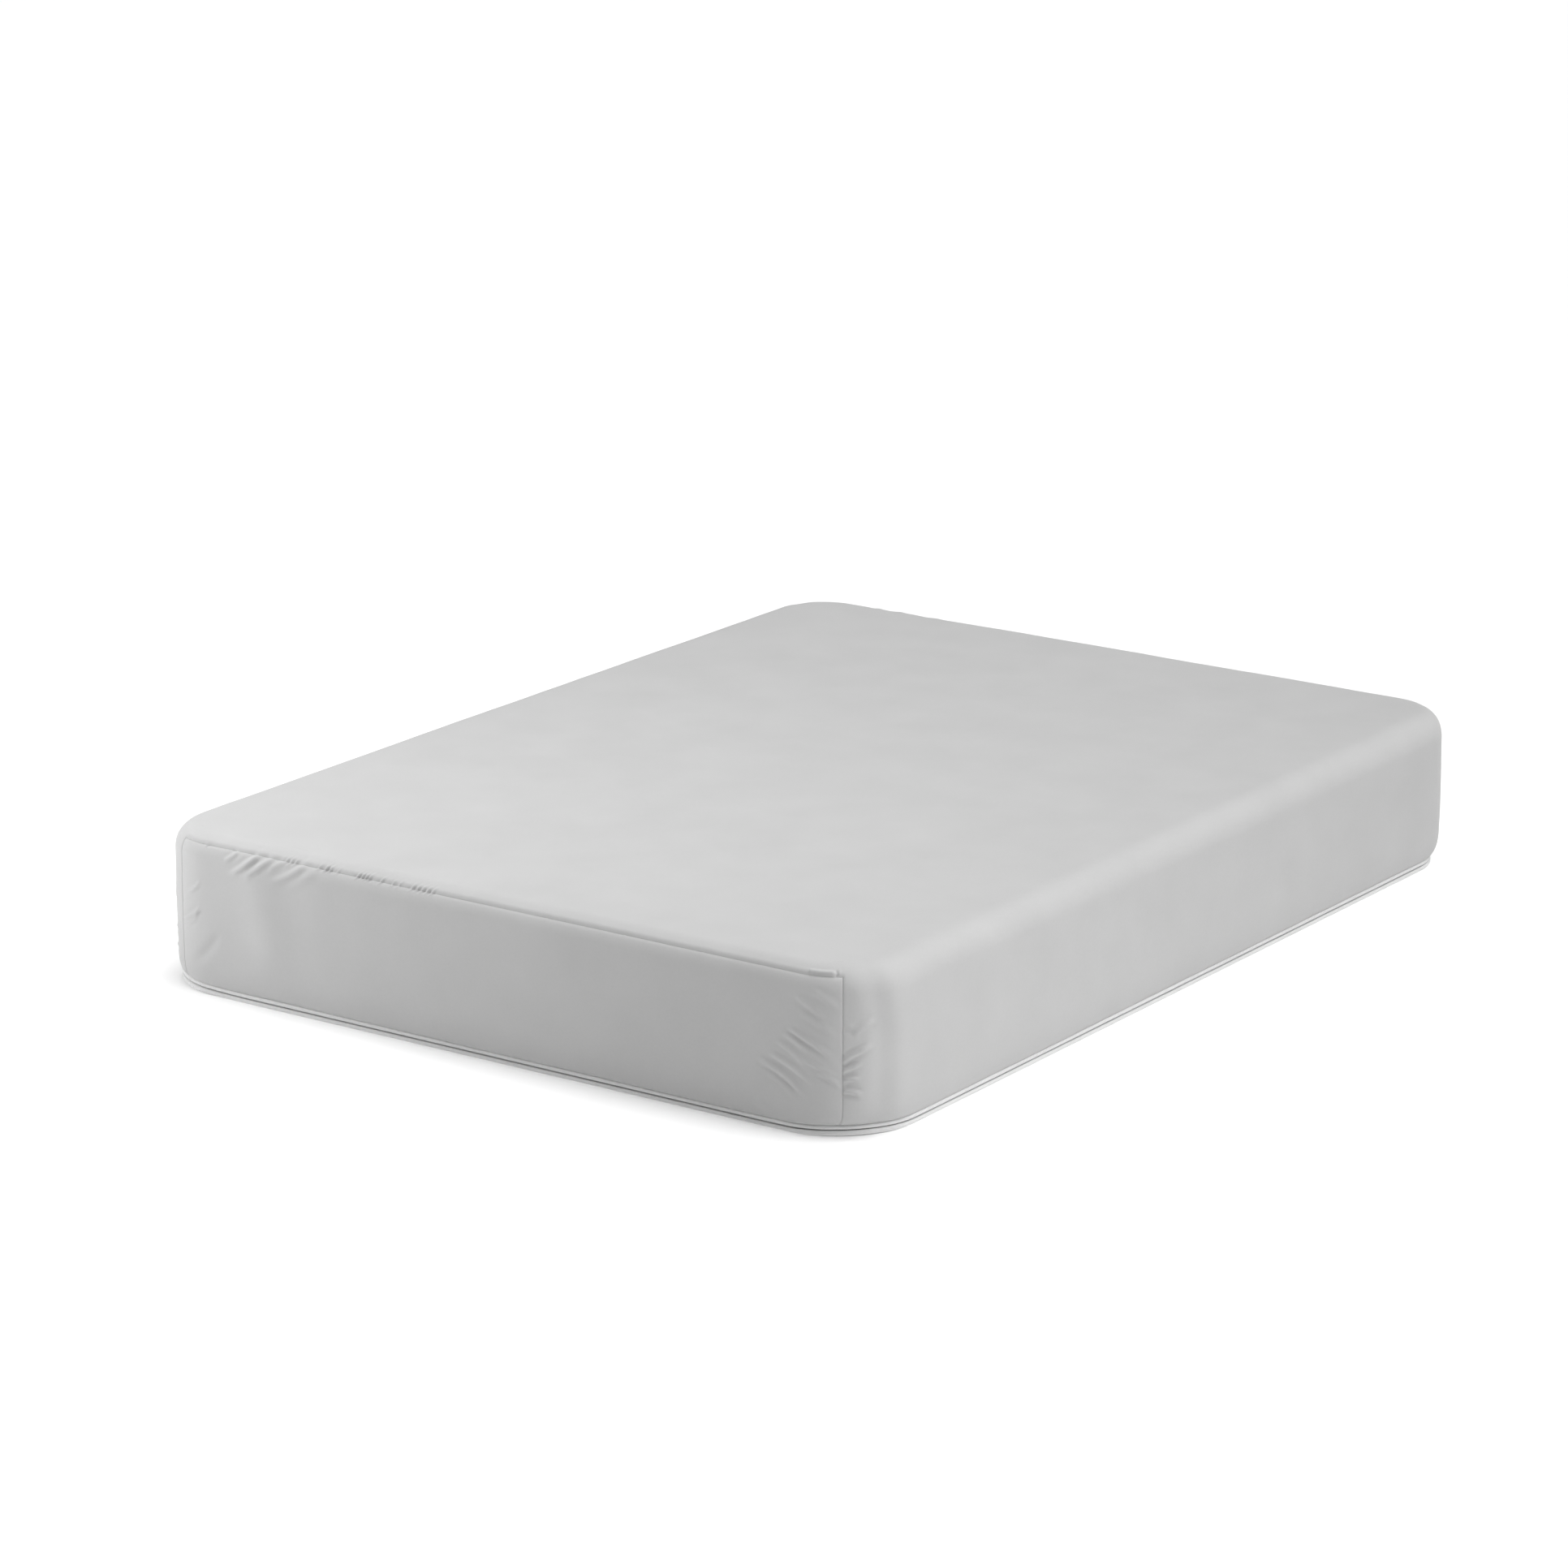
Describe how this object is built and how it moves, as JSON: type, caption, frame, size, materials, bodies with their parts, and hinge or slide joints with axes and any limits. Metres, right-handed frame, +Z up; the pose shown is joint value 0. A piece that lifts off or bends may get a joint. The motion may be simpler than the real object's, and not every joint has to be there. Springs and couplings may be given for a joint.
{
  "type": "memory foam mattress",
  "caption": "Queen-size layered memory foam mattress in a smooth knitted zip-off cover with soft rolled edges, sewn-in end panels and a double hem band hiding a perimeter zip.",
  "frame": {"origin": "on the floor under the middle of the mattress", "axes": "+Y along the length towards the head end (the zip slider's end), +X across the width, +Z up"},
  "size_m": [1.524, 2.032, 0.292],
  "materials": {
    "cover_knit": "matte",
    "end_panel_knit": "matte",
    "hem_knit": "matte",
    "seam_binding": "matte",
    "memory_foam": "matte",
    "transition_foam": "matte",
    "base_foam": "matte",
    "sock_knit": "matte",
    "bottom_cloth": "matte",
    "zip_tape": "matte",
    "zip_coil": "satin",
    "zip_metal": "satin"
  },
  "bodies": {
    "core": {"base_foam": "base_foam", "transition_foam": "transition_foam", "memory_foam": "memory_foam", "fire_sock": "sock_knit", "bottom_panel": "bottom_cloth", "lower_zip_flap": "hem_knit", "lower_zip_tape": "zip_tape", "lower_zip_coil": "zip_coil", "lower_zip_stops": "zip_metal"},
    "cover": {"top_cover": "cover_knit", "foot_panel": "end_panel_knit", "head_panel": "end_panel_knit", "foot_seam_tape": "seam_binding", "head_seam_tape": "seam_binding", "upper_zip_flap": "hem_knit", "upper_zip_tape": "zip_tape", "upper_zip_coil": "zip_coil", "upper_zip_pin": "zip_metal", "upper_zip_stop": "zip_metal"},
    "slider": {"zip_slider": "zip_metal"},
    "pull": {"pull_tab": "zip_metal"}
  },
  "joints": [
    {"name": "cover_lift", "type": "slide", "parent": "core", "child": "cover", "axis": [0, 0, 1], "range_m": [0, 0.36]},
    {"name": "zip_slide", "type": "slide", "parent": "core", "child": "slider", "axis": [1, 0, 0], "range_m": [0, 1.12]},
    {"name": "pull_swing", "type": "hinge", "parent": "slider", "child": "pull", "pos_m": [-0.56, 1.0144, 0.0088], "axis": [0, 0, -1], "range_deg": [0, 175]}
  ]
}
